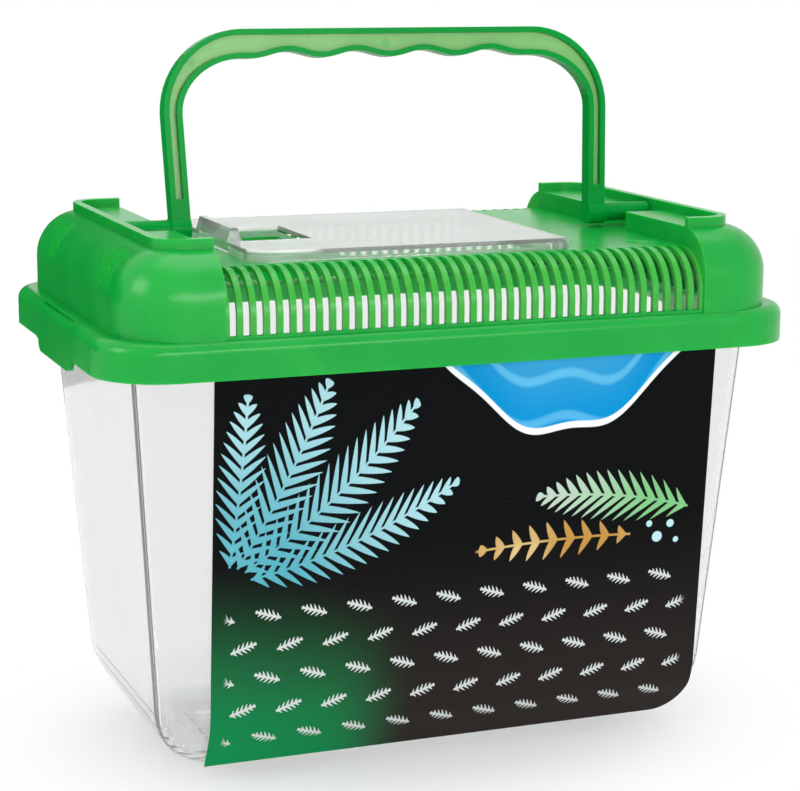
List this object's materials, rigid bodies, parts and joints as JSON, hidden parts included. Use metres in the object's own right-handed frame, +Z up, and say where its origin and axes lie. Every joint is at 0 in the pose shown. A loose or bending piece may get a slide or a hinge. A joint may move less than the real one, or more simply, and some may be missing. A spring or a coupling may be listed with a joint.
{
  "type": "carrying tank for small animals",
  "caption": "Clear tapered carrying tank for small pets, with a slotted lid that clips on, a folding carrying handle, a clear hinged feeding window and a printed front band.",
  "frame": {"origin": "on the floor under the middle of the lid's rim, which is also the middle of the tub", "axes": "+X along the long side towards the window's hinge, +Y from the printed front to the back, +Z up"},
  "size_m": [0.19, 0.118, 0.194],
  "materials": {
    "tub": "clear, polished, colourless",
    "printed_band": "printed card with a smooth coating",
    "lid": "semi-gloss, slightly translucent green",
    "handle": "semi-gloss, slightly translucent green",
    "window_flap": "clear, polished, colourless"
  },
  "bodies": {
    "tub": {"tub": "tub", "printed_band": "printed_band"},
    "lid": {"lid": "lid"},
    "handle": {"handle": "handle"},
    "window": {"window_flap": "window_flap"}
  },
  "joints": [
    {"name": "lid_lift", "type": "slide", "parent": "tub", "child": "lid", "axis": [0, 0, 1], "range_m": [0, 0.06]},
    {"name": "handle_fold", "type": "hinge", "parent": "lid", "child": "handle", "pos_m": [0, 0, 0.1421], "axis": [1, 0, 0], "range_deg": [-84, 96]},
    {"name": "window_open", "type": "hinge", "parent": "lid", "child": "window", "pos_m": [0.0322, -0.0073, 0.1394], "axis": [0, 1, 0], "range_deg": [0, 28]}
  ]
}
